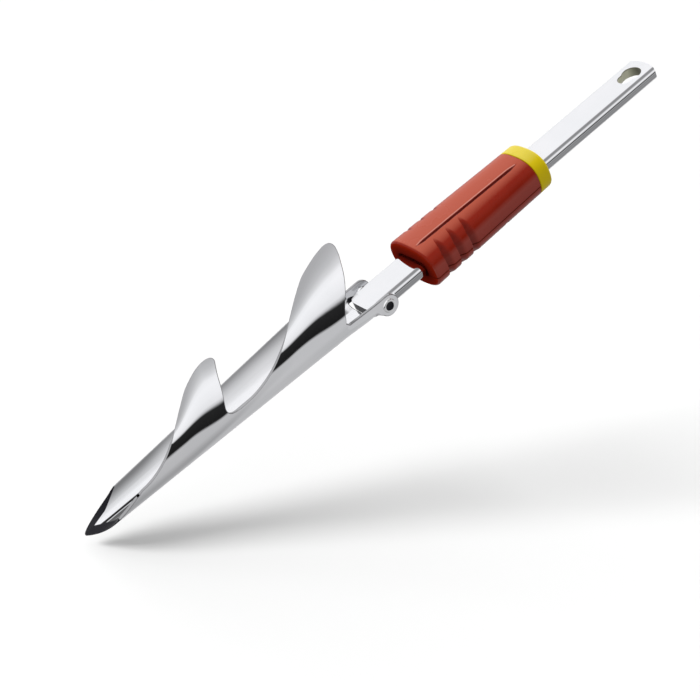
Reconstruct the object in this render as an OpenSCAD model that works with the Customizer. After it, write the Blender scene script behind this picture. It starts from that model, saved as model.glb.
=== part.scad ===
// Hand soil auger: pressed gouge blade with two flights, folding flat handle bar, sliding two-shell grip.
// Millimetres. The tool lies along X: point at -X, bar end at +X, open side of the gouge up (+Z).
// The origin is the centre of the hang hole, half way through the bar.

/* [Blade] */
// Length from the point of the blade to the hinge pin
blade_length = 220; // [205:1:250]
// Outer radius of the gouge at the point
tip_radius = 10.6; // [9:0.1:13]
// Outer radius of the gouge at the hinge pin
root_radius = 23.4; // [21:0.1:25]
// Sheet thickness of the blade
sheet = 2; // [1.6:0.1:2.4]
// Height of the front flight, measured along the sheet
front_flight = 36.5; // [28:0.5:40]
// Height of the rear flight, measured along the sheet
rear_flight = 45; // [36:0.5:46]
// Bending radius of the flights
flight_radius = 40; // [36:1:60]
// How far the back of the gouge rises from the hinge to the point
back_rise = 3.8; // [2:0.1:6]

/* [Handle bar] */
// Width of the flat bar
bar_width = 25; // [24:0.5:26]
// Thickness of the flat bar, its side edges are half round
bar_thick = 8; // [7:0.2:9]
// Distance from the hinge pin to the hang hole
pin_to_hole = 229.5; // [222:0.5:250]
// Radius of the hang hole
hole_radius = 6.5; // [5.5:0.1:7]
// Half width of the slot that joins the hang hole
slot_half = 4; // [2.5:0.1:4]

/* [Hinge] */
// Radius of the rivet shank
rivet_radius = 3; // [2.5:0.1:3.4]
// Radius of the round ears
ear_radius = 6.6; // [6.4:0.1:8]

/* [Grip] */
// Distance from the hinge pin to the lower end of the grip
grip_start = 33; // [31:0.5:40]
// Length of the shells that shows
shell_length = 92.5; // [90:0.5:98]
// Length of the collar
collar_length = 10.5; // [9:0.5:12]
// Width of the grip at its lower end
grip_width_low = 44; // [43:0.5:48]
// Width of the grip at the collar
grip_width_high = 37; // [36.5:0.5:40]
// Thickness of the grip
grip_thick = 29; // [28.5:0.5:31]
// Depth of the finger grooves
groove_depth = 1.6; // [1:0.1:2]
// Travel of the grip towards the hinge
travel_down = 18; // [10:1:18]
// Travel of the grip towards the hang hole
travel_up = 52; // [30:1:52]

/* [Hidden] */
$fn = 64;
steel = [0.80, 0.81, 0.83];
red = [0.62, 0.12, 0.07];
yellow = [0.86, 0.76, 0.02];
bar_half = bar_thick / 2;
ear_in = bar_width / 2 + 0.2;
ear_out = ear_in + sheet;
far_turn = 135;
far_flat = 3;
far_reach = 0.5;
point_cut = 30;
point_turn = 115;
first_bend = 11;
floor_end = -12.5;
flight_rake = 0.42;
corner = 6;
front_foot = -0.836 * blade_length;
front_peak = -0.495 * blade_length;
rear_foot = -0.5 * blade_length;
rear_peak = floor_end + 0.5;
rows = 12;
flight_rows = 6;
bar_foot = -8.5;
bar_tip = pin_to_hole + 12.5;
bar_end_radius = 24;
slot_back = 6.8;
grip_radius = grip_thick / 2;
grip_end = grip_start + shell_length;
collar_end = grip_end + collar_length;
half_low = grip_width_low / 2 - grip_radius;
half_high = grip_width_high / 2 - grip_radius;
grip_taper = atan((half_low - half_high) / (collar_end - grip_start));
shell_wall = 3;
part_level = -3.4;
part_gap = 0.1;
beyond = 300;
slide_gap = 0.3;
spigot = 2.5;
stop_radius = 2;
stop_x = grip_start + 68.5;
stop_below = 2.4;
screw_spots = [[grip_start + 9, 16.4], [grip_start + 9, -16.4], [grip_start + 62, 15.4], [grip_start + 62, -15.4]];
screw_radius = 1.2;
head_radius = 2;
seat = -5.8;
spring_x = grip_start + 46;
spring_half = 12.5;
spring_thick = 0.6;
spring_radius = 23.5;
pocket_top = bar_half + 4.5;

// Blend of two values, and a smooth step from 0 to 1 between two limits
function mix(a, b, f) = a + (b - a) * f;
function clamp(f) = max(0, min(1, f));
function ease(a, b, x) = let (f = clamp((x - a) / (b - a))) f * f * (3 - 2 * f);

// Gouge section along the blade, x counts from the hinge pin
function gouge_radius(x) = mix(root_radius, tip_radius, -x / blade_length);
function gouge_centre(x) = -bar_half + back_rise * (-x / blade_length) + gouge_radius(x);

// Radians of sheet to degrees
function turn(length, radius) = length / radius * 180 / PI;

// Near edge as sheet length above the widest point of the near wall, far edge as the cut back rim
function near_edge(x) = let (d = max(0, front_foot + 4 - x)) -0.3 * d - 0.0054 * d * d - 5 * ease(-52, -30, x);
function far_edge(x) = let (f = pow(clamp((x + blade_length) / point_cut), 0.6))
    -gouge_radius(x) * mix(point_turn * PI / 180, far_turn * PI / 180 + far_reach, f);

// Flights rise on a wide bend, then curl in tighter where they are low
function curl_radius(x) = x < -0.52 * blade_length
    ? mix(7, 0.9 * flight_radius, ease(-0.727 * blade_length, -0.59 * blade_length, x))
    : mix(10, 1.05 * flight_radius, ease(-0.386 * blade_length, -0.18 * blade_length, x));

// Walking angle, outer point and outward normal of the sheet at sheet length l, flights lean back by their rake
first_turn = turn(first_bend, flight_radius);
function far_start(x) = -far_turn * PI / 180 * gouge_radius(x);
function sheet_angle(x, l) = let (r = gouge_radius(x), s = far_start(x))
    l < s ? 90 + far_turn + turn(s - l, far_flat * r)
    : l <= 0 ? 90 - turn(l, r)
    : l <= first_bend ? 90 - turn(l, flight_radius)
    : 90 - first_turn - turn(l - first_bend, curl_radius(x));
function flight_point(r, c, e, a) = let (f = flight_radius) [
    -r + f * (1 - cos(first_turn)) + e * (cos(first_turn) - sin(a)),
    c + f * sin(first_turn) + e * (cos(a) - sin(first_turn))];
function far_point(r, c, e, a) = [
    -r * cos(far_turn) + e * (cos(far_turn) - sin(a)), c - r * sin(far_turn) + e * (sin(far_turn) + cos(a))];
function bent(r, c, a) = [-r * sin(a), c + r * cos(a)];
function sheet_section(x, l) = let (r = gouge_radius(x), c = gouge_centre(x), a = sheet_angle(x, l))
    l < far_start(x) ? far_point(r, c, far_flat * r, a)
    : l <= 0 ? bent(r, c, a)
    : l <= first_bend ? bent(flight_radius, c, a) + [flight_radius - r, 0]
    : flight_point(r, c, curl_radius(x), a);
function sheet_point(x, l) = let (p = sheet_section(x, l)) [x + flight_rake * max(0, l), p[0], p[1]];
function sheet_normal(x, l) = let (a = sheet_angle(x, l)) [0, -sin(a), cos(a)];

// Sheet thickness, ground thin along the edges of the point
function ground(x, l) = let (d = min(l - far_edge(x), near_edge(x) - l))
    sheet * mix(1, 0.25 + 0.75 * clamp(d / 4), ease(-0.7 * blade_length, -0.8 * blade_length, x));

// Clevis section that the gouge turns into, walked from the far ear over the floor to the near ear
clevis_side = ear_radius + bar_half;
clevis_walk = 2 * ear_out + 2 * clevis_side;
function clevis_point(x, f) = let (w = f * clevis_walk)
    w < clevis_side ? [x, ear_out, ear_radius - w]
    : w > clevis_walk - clevis_side ? [x, -ear_out, ear_radius - (clevis_walk - w)]
    : [x, ear_out - (w - clevis_side), -bar_half];
function clevis_normal(f) = let (w = f * clevis_walk, a = w - clevis_side, b = clevis_walk - clevis_side - w)
    abs(a) < 2 ? [0, 0.71, -0.71] : abs(b) < 2 ? [0, -0.71, -0.71]
    : a < 0 ? [0, 1, 0] : b < 0 ? [0, -1, 0] : [0, 0, -1];

// Outer and inner point of the gouge at a row
function gouge_pair(x, j) = let (l = mix(far_edge(x), near_edge(x), j / rows), k = ease(-42, floor_end - 3, x),
    o = mix(sheet_point(x, l), clevis_point(x, j / rows), k),
    n = mix(sheet_normal(x, l), clevis_normal(j / rows), k)) [o, o - ground(x, l) * n / norm(n)];

// Flight height over its base position: half a cosine wave seen along the rake, with a rounded back corner
function wave(x, foot, peak, h) = h * (1 - cos(180 * clamp((x - foot) / (peak - foot)))) / 2;
function raked(x, foot, peak, h, l, n) =
    n == 0 ? l : raked(x, foot, peak, h, wave(x + flight_rake * l, foot, peak, h), n - 1);
function flight_back(peak, h) = peak - flight_rake * h + 2;
function flight_height(x, foot, peak, h) = let (l = raked(x, foot, peak, h, 0, 24),
    d = min(corner, flight_back(peak, h) - x))
    min(l, h - corner + sqrt(max(0, corner * corner - (corner - d) * (corner - d))));

// Outer and inner point of a flight at a row above the gouge edge
function flight_pair(x, j, foot, peak, h) = let (b = near_edge(x), f = j / flight_rows,
    l = mix(b, max(b + 0.3, flight_height(x, foot, peak, h)), f),
    e = gouge_pair(x, rows), s = (e[0] - sheet_point(x, b)) * (1 - f), o = sheet_point(x, l) + s)
    [o, o - sheet * sheet_normal(x, l)];

// Column positions along the blade, with both flights on whole columns
front_back = flight_back(front_peak, front_flight);
rear_back = flight_back(rear_peak, rear_flight);
column_x = concat(
    [for (i = [0:9]) mix(-blade_length, front_foot, pow(i / 10, 1.3))],
    [for (i = [0:12]) mix(front_foot, front_back, i / 12)],
    [for (i = [1:2]) mix(front_back, rear_foot, i / 2)],
    [for (i = [1:14]) mix(rear_foot, rear_back, i / 14)],
    [for (i = [1:7]) mix(rear_back, floor_end, i / 7)]);
cols = len(column_x);
front = [10, 22, front_foot, front_peak, front_flight];
rear = [24, 38, rear_foot, rear_peak, rear_flight];
base_count = cols * (rows + 1);
function flight_count(s) = (s[1] - s[0]) * flight_rows;
count = base_count + flight_count(front) + flight_count(rear);

// Point numbers of the outer skin, the inner skin follows at + count
function base_at(i, j) = i * (rows + 1) + j;
function flight_at(s, i, j) = (j == 0 || i == s[0]) ? base_at(i, rows)
    : (s == front ? base_count : base_count + flight_count(front)) + (i - s[0] - 1) * flight_rows + j - 1;
function skin(side) = concat(
    [for (i = [0:cols - 1]) for (j = [0:rows]) gouge_pair(column_x[i], j)[side]],
    [for (s = [front, rear]) for (i = [s[0] + 1:s[1]]) for (j = [1:flight_rows])
        flight_pair(column_x[i], j, s[2], s[3], s[4])[side]]);
function quad(a, b, c, d) = [[a, b, c], [a, c, d]];
function both(a, b, c, d) = concat(quad(a, b, c, d), quad(count + a, count + d, count + c, count + b));
function edge(a, b) = quad(a, count + a, count + b, b);
function bare(i) = (i < front[0] || i >= front[1]) && (i < rear[0] || i >= rear[1]);

gouge_faces = concat(
    [for (i = [0:cols - 2]) for (j = [0:rows - 1])
        each both(base_at(i, j), base_at(i, j + 1), base_at(i + 1, j + 1), base_at(i + 1, j))],
    [for (i = [0:cols - 2]) each edge(base_at(i + 1, 0), base_at(i, 0))],
    [for (i = [0:cols - 2]) if (bare(i)) each edge(base_at(i, rows), base_at(i + 1, rows))],
    [for (j = [0:rows - 1]) each edge(base_at(0, j), base_at(0, j + 1))],
    [for (j = [0:rows - 1]) each edge(base_at(cols - 1, j + 1), base_at(cols - 1, j))]);

function flight_faces(s) = concat(
    [for (j = [0:flight_rows - 1]) let (a = base_at(s[0], rows), b = flight_at(s, s[0] + 1, j + 1),
        c = flight_at(s, s[0] + 1, j)) each [[a, b, c], [count + a, count + c, count + b]]],
    [for (i = [s[0] + 1:s[1] - 1]) for (j = [0:flight_rows - 1]) each both(flight_at(s, i, j),
        flight_at(s, i, j + 1), flight_at(s, i + 1, j + 1), flight_at(s, i + 1, j))],
    [for (i = [s[0]:s[1] - 1]) each edge(flight_at(s, i, flight_rows), flight_at(s, i + 1, flight_rows))],
    [for (j = [0:flight_rows - 1]) each edge(flight_at(s, s[1], j + 1), flight_at(s, s[1], j))]);

// Pressed sheet blade: gouge, flights and the two hinge ears
module auger_blade() color(steel) difference() {
    union() {
        polyhedron(points = concat(skin(0), skin(1)),
                   faces = concat(gouge_faces, flight_faces(front), flight_faces(rear)));
        for (s = [-1, 1]) ear(s);
    }
    rotate([90, 0, 0]) cylinder(r = rivet_radius + 0.02, h = 60, center = true);
}

// One flat round ear that clasps the end of the gouge side
module ear(s) translate([0, s * (ear_in + ear_out) / 2, 0]) rotate([90, 0, 0])
    linear_extrude(sheet + 0.2, center = true) {
        circle(r = ear_radius);
        translate([floor_end - 4, -bar_half + 0.6]) square([-floor_end + 4, ear_radius + bar_half - 1]);
    }

// Rivet with two low heads, the near head has a dimple
module hinge_rivet() color(steel) rotate([90, 0, 0]) difference() {
    union() {
        cylinder(r = rivet_radius, h = 2 * ear_out + 1, center = true);
        for (s = [0, 180]) rotate([s, 0, 0]) translate([0, 0, ear_out + 0.12])
            cylinder(r1 = ear_radius - 1.2, r2 = ear_radius - 2.2, h = 1.6);
    }
    translate([0, 0, ear_out + 0.7]) cylinder(r = rivet_radius, h = 4);
}

// Section of the flat bar with half round sides
module bar_section(grow) {
    square([bar_width - bar_thick, bar_thick + 2 * grow], center = true);
    for (s = [-1, 1]) translate([s * (bar_width / 2 - bar_half), 0]) circle(r = bar_half + grow);
}

module bar_run(x1, x2, grow) translate([x1, 0, 0]) rotate([90, 0, 90]) linear_extrude(x2 - x1) bar_section(grow);

// Flat bar: bevelled foot in the clevis, rounded end, keyhole, rivet bore and stop pin hole
module handle_bar() color(steel) difference() {
    intersection() {
        bar_run(bar_foot, bar_tip, 0);
        linear_extrude(40, center = true) {
            translate([bar_foot - 1, -20]) square([bar_tip - bar_foot - bar_end_radius, 40]);
            translate([bar_tip - bar_end_radius, 0]) circle(r = bar_end_radius);
        }
        rotate([90, 0, 0]) linear_extrude(60, center = true) polygon([[bar_foot, -1.2], [bar_foot, bar_half - 2],
            [bar_foot + 2.6, bar_half], [bar_foot + 4, bar_half + 6], [bar_tip + 5, bar_half + 6],
            [bar_tip + 5, -bar_half - 6], [bar_foot + 4, -bar_half - 6], [bar_foot + 2.6, -bar_half]]);
    }
    translate([pin_to_hole, 0, 0]) {
        cylinder(r = hole_radius, h = 40, center = true);
        translate([-slot_back, 0, 0]) cylinder(r = slot_half, h = 40, center = true);
        translate([-slot_back, -slot_half, -20]) cube([slot_back, 2 * slot_half, 40]);
    }
    rotate([90, 0, 0]) cylinder(r = rivet_radius + 0.05, h = 60, center = true);
    translate([stop_x, 0, -bar_half - 1]) cylinder(r = stop_radius + 0.02, h = 4);
}

// Peg under the bar that limits the travel of the grip
module stop_pin() color(steel) translate([stop_x, 0, -bar_half - stop_below])
    cylinder(r = stop_radius, h = stop_below + 2.9);

// Tapered oval of the grip between two stations
module oval(r, x1, x2) intersection() {
    union() {
        for (s = [-1, 1]) translate([grip_start, s * half_low, 0]) rotate([0, 0, -s * grip_taper])
            rotate([0, 90, 0]) translate([0, 0, -30]) cylinder(r = r, h = 190);
        linear_extrude(2 * r - 0.1, center = true) polygon([
            [grip_start - 20, -half_low - 20 * tan(grip_taper)], [collar_end + 20, -half_high + 20 * tan(grip_taper)],
            [collar_end + 20, half_high - 20 * tan(grip_taper)], [grip_start - 20, half_low + 20 * tan(grip_taper)]]);
    }
    translate([x1, -40, -40]) cube([x2 - x1, 80, 80]);
}

// Outside of the two shells with finger grooves, top panel grooves and the spigot for the collar
module shell_outside() difference() {
    union() {
        oval(grip_radius, grip_start, grip_end);
        oval(grip_radius - spigot, grip_end - 1, collar_end - 2);
    }
    for (s = [-1, 1]) for (i = [0:2]) translate([grip_start + 12.7 + 10.6 * i, 0, 0]) rotate([0, 0, -s * grip_taper])
        translate([0, s * (grip_width_low / 2 - 0.034 * 12.7 + 4 - groove_depth), 0])
            cylinder(r = 4, h = 60, center = true);
    for (s = [-1, 1]) translate([0, 0, grip_radius - 1]) linear_extrude(5) polygon([
        [grip_start + 2.5, s * 7], [grip_start + 14, s * 6.6], [grip_start + 88, s * 8.1],
        [grip_start + 14, s * 7.8]]);
}

// Bar channel, mouth recess, screw holes and hollow bays shared by both shells
module shell_inside() {
    bar_run(grip_start - 5, collar_end + 5, slide_gap);
    translate([grip_start - 5, 0, 0]) rotate([90, 0, 90]) linear_extrude(14) {
        square([bar_width + 3, 11], center = true);
        square([bar_width - 3, 17], center = true);
        for (a = [-1, 1]) for (b = [-1, 1]) translate([a * (bar_width / 2 - 1.5), b * 5.5]) circle(r = 3);
    }
    for (p = screw_spots) translate([p[0], p[1], 0]) {
        translate([0, 0, seat - 0.3]) cylinder(r = screw_radius + 0.02, h = 14);
        translate([0, 0, seat - 20]) cylinder(r = head_radius + 0.3, h = 20);
    }
    for (b = [[13, 30], [64.5 + 3.5, 87]]) oval(grip_radius - shell_wall, grip_start + b[0], grip_start + b[1]);
}

module grip_upper_shell() color(red) intersection() {
    difference() {
        shell_outside();
        shell_inside();
        translate([spring_x - spring_half - 0.8, -6, 0]) cube([2 * spring_half + 1.6, 12, pocket_top]);
    }
    translate([0, -beyond / 2, part_level + part_gap]) cube(beyond);
}

module grip_lower_shell() color(red) intersection() {
    difference() {
        shell_outside();
        shell_inside();
        translate([stop_x - travel_up - stop_radius - 0.3, -stop_radius - 0.4, -bar_half - stop_below - 0.6])
            cube([travel_up + travel_down + 2 * stop_radius + 0.6, 2 * stop_radius + 0.8, 10]);
    }
    translate([0, -beyond / 2, part_level - part_gap - beyond]) cube(beyond);
}

// Collar that holds the upper ends of the shells together
module grip_collar() color(yellow) difference() {
    oval(grip_radius, grip_end + 0.1, collar_end);
    oval(grip_radius - spigot + 0.15, grip_end - 3, collar_end - 1.85);
    bar_run(grip_end - 5, collar_end + 5, slide_gap + 0.2);
}

// Four screws that pull the lower shell to the upper shell
module grip_screws() color(steel) for (p = screw_spots) translate([p[0], p[1], seat]) {
    cylinder(r = screw_radius, h = 12.5);
    translate([0, 0, -1.8]) cylinder(r = head_radius, h = 1.8);
}

// Bowed leaf spring between the upper shell and the bar
module friction_spring() color(steel) intersection() {
    translate([spring_x, 0, bar_half + 0.1 + spring_radius]) rotate([90, 0, 0]) difference() {
        cylinder(r = spring_radius, h = 9, center = true);
        cylinder(r = spring_radius - spring_thick, h = 20, center = true);
    }
    translate([spring_x - spring_half, -20, 0]) cube([2 * spring_half, 40, pocket_top - 0.1]);
}

translate([-pin_to_hole, 0, 0]) {
    auger_blade();
    hinge_rivet();
    handle_bar();
    stop_pin();
    grip_upper_shell();
    grip_lower_shell();
    grip_collar();
    grip_screws();
    friction_spring();
}
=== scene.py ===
import math
import bmesh
import bpy
import numpy as np
from mathutils import Matrix, Vector
from mathutils.geometry import delaunay_2d_cdt


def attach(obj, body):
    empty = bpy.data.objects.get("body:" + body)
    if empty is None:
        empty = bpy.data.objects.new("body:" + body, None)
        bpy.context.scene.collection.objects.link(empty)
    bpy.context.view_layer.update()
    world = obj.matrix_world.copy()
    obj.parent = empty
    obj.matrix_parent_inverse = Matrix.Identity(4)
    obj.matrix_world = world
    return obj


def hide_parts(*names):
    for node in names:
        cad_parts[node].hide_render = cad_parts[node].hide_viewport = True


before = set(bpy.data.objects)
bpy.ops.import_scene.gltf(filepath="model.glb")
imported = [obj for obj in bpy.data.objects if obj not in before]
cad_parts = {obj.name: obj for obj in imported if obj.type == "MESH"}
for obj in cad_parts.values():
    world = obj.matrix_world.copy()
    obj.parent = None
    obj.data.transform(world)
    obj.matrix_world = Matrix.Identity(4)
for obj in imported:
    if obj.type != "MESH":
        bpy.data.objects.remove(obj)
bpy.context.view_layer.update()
scene = bpy.context.scene

# Driving sizes in millimetres, x counts from the hinge pin
PIN_TO_HOLE = 229.5
BLADE = 220.0
TIP_RADIUS = 10.6
ROOT_RADIUS = 23.4
SHEET = 2.0
FLIGHT_RADIUS = 40.0
BACK_RISE = 3.8
RAKE = 0.42
BAR_HALF_WIDTH = 12.5
BAR_HALF = 4.0
BAR_FOOT = -10.8
BAR_END = 242.0
EAR_OUT = 14.7
EAR_TOP = 6.4
EAR_RADIUS = 6.4
EAR_AHEAD = 0.3
FLOOR_END = -12.1
GRIP_START = 33.0
GRIP_END = 125.5
COLLAR_END = 136.0


def mix(a, b, f):
    return a + (b - a) * f


def ease(a, b, x):
    f = np.clip((x - a) / (b - a), 0, 1)
    return f * f * (3 - 2 * f)


# Value that eases from low to high between two places
def ramp(x, start, end, low, high):
    return mix(low, high, ease(start, end, x))


def unit(v):
    return v / np.maximum(np.linalg.norm(v, axis=-1, keepdims=True), 1e-12)


def full_turn(count):
    return np.linspace(0, 2 * math.pi, count + 1)[:-1]


# Millimetre points from the pin as metres in the part's frame, whose origin is the hang hole
def in_frame(points):
    return (np.asarray(points, float) - [PIN_TO_HOLE, 0, 0]) / 1000


def plain_mesh(name, points, faces):
    mesh = bpy.data.meshes.new(name)
    mesh.from_pydata([tuple(p) for p in in_frame(points)], [], [tuple(f) for f in faces])
    return mesh


# Quads between two rings of n points, whose first points have the numbers one and two
def band(one, two, n):
    return [(one + i, one + (i + 1) % n, two + (i + 1) % n, two + i) for i in range(n)]


# Faces of a closed solid through a stack of rings of n points
def stack_faces(base, n, rings):
    last = base + n * (rings - 1)
    faces = [tuple(range(base, base + n))[::-1], tuple(range(last, last + n))]
    for start in range(base, last, n):
        faces += band(start, start + n, n)
    return faces


# Object from points, faces and optional vertex normals, riding on a body in place of CAD nodes
def make(name, points, faces, body, nodes, materials, normals=None, kinds=None):
    mesh = plain_mesh(name, points, faces)
    mesh.update()
    mesh.shade_smooth()
    if normals is not None:
        mesh.normals_split_custom_set_from_vertices([tuple(n) for n in normals])
    piece = bpy.data.objects.new(name, mesh)
    scene.collection.objects.link(piece)
    for material in materials:
        mesh.materials.append(material)
    if kinds is not None:
        mesh.polygons.foreach_set("material_index", kinds)
    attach(piece, body)
    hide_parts(*nodes)
    return piece


# Value at every vertex for the materials to read
def mark(piece, name, values):
    piece.data.attributes.new(name, "FLOAT", "POINT").data.foreach_set("value", values)


# Shader nodes
NOISE_LOW = 0.3
NOISE_HIGH = 0.7
COOL = 1.01


def new_material(name):
    material = bpy.data.materials.new(name)
    material.use_nodes = True
    return material, material.node_tree, material.node_tree.nodes["Principled BSDF"]


def add(tree, kind, **inputs):
    item = tree.nodes.new(kind)
    for key, value in inputs.items():
        item.inputs[key.replace("_", " ")].default_value = value
    return item


def calculate(tree, operation, *inputs):
    item = tree.nodes.new("ShaderNodeMath")
    item.operation = operation
    for socket, value in zip(item.inputs, inputs):
        if isinstance(value, bpy.types.NodeSocket):
            tree.links.new(value, socket)
        else:
            socket.default_value = value
    return item.outputs[0]


def axes_of(tree, vector):
    item = tree.nodes.new("ShaderNodeSeparateXYZ")
    tree.links.new(vector, item.inputs[0])
    return item.outputs


# Noise in object coordinates, stretched where a scale is small
def noise(tree, scale, stretch=(1, 1, 1), detail=3):
    place = add(tree, "ShaderNodeTexCoord")
    turn = add(tree, "ShaderNodeMapping", Scale=stretch)
    cloud = add(tree, "ShaderNodeTexNoise", Scale=scale, Detail=detail)
    tree.links.new(place.outputs["Object"], turn.inputs["Vector"])
    tree.links.new(turn.outputs["Vector"], cloud.inputs["Vector"])
    return cloud.outputs["Fac"]


# Spreads a value between start and end, if not given the usual range of noise, from low to high
def spread(tree, value, low=0, high=1, start=NOISE_LOW, end=NOISE_HIGH, curve="LINEAR"):
    item = add(tree, "ShaderNodeMapRange", From_Min=start, From_Max=end, To_Min=low, To_Max=high)
    item.interpolation_type = curve
    tree.links.new(value, item.inputs["Value"])
    return item.outputs["Result"]


def colour_mix(tree):
    item = tree.nodes.new("ShaderNodeMix")
    item.data_type = "RGBA"
    return item


def blend(tree, value, one, two):
    item = colour_mix(tree)
    tree.links.new(value, item.inputs["Factor"])
    tree.links.new(one, item.inputs["A"])
    tree.links.new(two, item.inputs["B"])
    return item.outputs["Result"]


def multiply(tree, one, two):
    item = colour_mix(tree)
    item.blend_type = "MULTIPLY"
    item.inputs["Factor"].default_value = 1
    tree.links.new(one, item.inputs["A"])
    tree.links.new(two, item.inputs["B"])
    return item.outputs["Result"]


def two_tone(tree, value, dark, light):
    item = colour_mix(tree)
    item.inputs["A"].default_value = (*dark, 1)
    item.inputs["B"].default_value = (*light, 1)
    tree.links.new(value, item.inputs["Factor"])
    return item.outputs["Result"]


def toward_tone(tree, value, colour, tone):
    item = colour_mix(tree)
    item.inputs["B"].default_value = (*tone, 1)
    tree.links.new(value, item.inputs["Factor"])
    tree.links.new(colour, item.inputs["A"])
    return item.outputs["Result"]


def mix_shader(tree, value, one, two):
    item = tree.nodes.new("ShaderNodeMixShader")
    for socket, source in zip(item.inputs, (value, one, two)):
        tree.links.new(source, socket)
    return item.outputs[0]


def bump(tree, height, strength, distance):
    item = add(tree, "ShaderNodeBump", Strength=strength, Distance=distance)
    tree.links.new(height, item.inputs["Height"])
    return item.outputs["Normal"]


def attribute(tree, name):
    item = tree.nodes.new("ShaderNodeAttribute")
    item.attribute_name = name
    return item.outputs["Fac"]


# Ramp through pairs of an angle in degrees and a grey level, over a share of the turn
def grey_ramp(tree, share, levels):
    item = tree.nodes.new("ShaderNodeValToRGB")
    tree.links.new(share, item.inputs[0])
    stops = item.color_ramp.elements
    while len(stops) > 1:
        stops.remove(stops[-1])
    for i, (degrees, level) in enumerate(levels):
        stop = stops[0] if i == 0 else stops.new((degrees + 180) / 360)
        stop.position = (degrees + 180) / 360
        stop.color = (level, level, level * COOL, 1)
    return item.outputs["Color"]


# Share of the turn round the tool's axis from -180 to 180 degrees: 0 is up and 90 the flights' side
def turn_share(tree, axes):
    sideways = calculate(tree, "MULTIPLY", axes["Y"], -1)
    angle = calculate(tree, "ARCTAN2", sideways, axes["Z"])
    return spread(tree, angle, start=-math.pi, end=math.pi)


# Metal, with a painted reflection by the direction the surface faces, and another painted reflection where
# the sheet is marked as raised
METAL_CLOUD = 30
METAL_LINES = 900
LINE_DEPTH = 0.00002


def metal(name, dark, light, smooth, rough, grain, depth, painted_reflection=None, raised_painted_reflection=None):
    material, tree, shader = new_material(name)
    shader.inputs["Metallic"].default_value = 1
    cloud = noise(tree, METAL_CLOUD)
    lines = noise(tree, METAL_LINES, grain, detail=4)
    colour = two_tone(tree, spread(tree, cloud), dark, light)
    if painted_reflection:
        place = add(tree, "ShaderNodeTexCoord")
        share = turn_share(tree, axes_of(tree, place.outputs["Normal"]))
        # Painted reflection: grey levels by the way the surface faces darken the colour
        tone = grey_ramp(tree, share, painted_reflection)
        if raised_painted_reflection:
            tone = blend(tree, attribute(tree, "raised"), tone, grey_ramp(tree, share, raised_painted_reflection))
        colour = multiply(tree, colour, tone)
    tree.links.new(colour, shader.inputs["Base Color"])
    tree.links.new(spread(tree, lines, smooth, rough), shader.inputs["Roughness"])
    tree.links.new(bump(tree, lines, depth, LINE_DEPTH), shader.inputs["Normal"])
    return material


# Plastic with painted light on top, a painted sheen on the sides, a painted highlight on the lips and painted
# shade where the skin is marked as sunk
PLASTIC_CLOUD = 45
PLASTIC_SKIN = 2600
SKIN_STRENGTH = 0.25
SKIN_DEPTH = 0.00005
# Painted sheen along the sides, by the angle round the grip
SIDE_SHEEN_LEVELS = [(64, 0.0), (80, 0.6), (90, 0.5), (100, 0.25), (125, 0.6), (150, 0.6)]


def plastic(name, dark, light, smooth, rough, top, low, shine, side_sheen=None, lip_highlight=None):
    material, tree, shader = new_material(name)
    cloud = noise(tree, PLASTIC_CLOUD)
    skin = noise(tree, PLASTIC_SKIN, detail=2)
    place = add(tree, "ShaderNodeTexCoord")
    axes = axes_of(tree, place.outputs["Normal"])
    colour = two_tone(tree, spread(tree, cloud), dark, light)
    # Painted light: the colour lightens towards the top colour on faces turned up
    colour = toward_tone(tree, spread(tree, axes["Z"], start=0.82, end=0.97), colour, top)
    if side_sheen:
        colour = toward_tone(tree, grey_ramp(tree, turn_share(tree, axes), SIDE_SHEEN_LEVELS), colour, side_sheen)
    if lip_highlight:
        colour = toward_tone(tree, attribute(tree, "lip_highlight"), colour, lip_highlight)
    colour = toward_tone(tree, attribute(tree, "sunk"), colour, low)
    tree.links.new(colour, shader.inputs["Base Color"])
    tree.links.new(spread(tree, cloud, smooth, rough), shader.inputs["Roughness"])
    tree.links.new(bump(tree, skin, SKIN_STRENGTH, SKIN_DEPTH), shader.inputs["Normal"])
    shader.inputs["Specular IOR Level"].default_value = shine
    return material


# Wall of the keyhole: painted shade at both ends and, by its height in metres, under the rim
WALL_CLOUD = 60
WALL_DARK = (0.72, 0.72, 0.56)
WALL_LIGHT = (0.84, 0.84, 0.68)
WALL_ENDS_SHADE = (0.16, 0.16, 0.11)
WALL_RIM_SHADE = (0.22, 0.22, 0.16)


def hole_wall(name):
    material, tree, shader = new_material(name)
    cloud = noise(tree, WALL_CLOUD)
    place = add(tree, "ShaderNodeTexCoord")
    slant = calculate(tree, "ABSOLUTE", axes_of(tree, place.outputs["Normal"])["X"])
    height = axes_of(tree, place.outputs["Object"])["Z"]
    colour = two_tone(tree, spread(tree, cloud), WALL_DARK, WALL_LIGHT)
    colour = toward_tone(tree, spread(tree, slant, start=0.35, end=0.95), colour, WALL_ENDS_SHADE)
    colour = toward_tone(tree, spread(tree, height, start=0.0028, end=0.0038), colour, WALL_RIM_SHADE)
    tree.links.new(colour, shader.inputs["Base Color"])
    tree.links.new(spread(tree, cloud, 0.35, 0.5), shader.inputs["Roughness"])
    shader.inputs["Specular IOR Level"].default_value = 0.4
    return material


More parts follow.
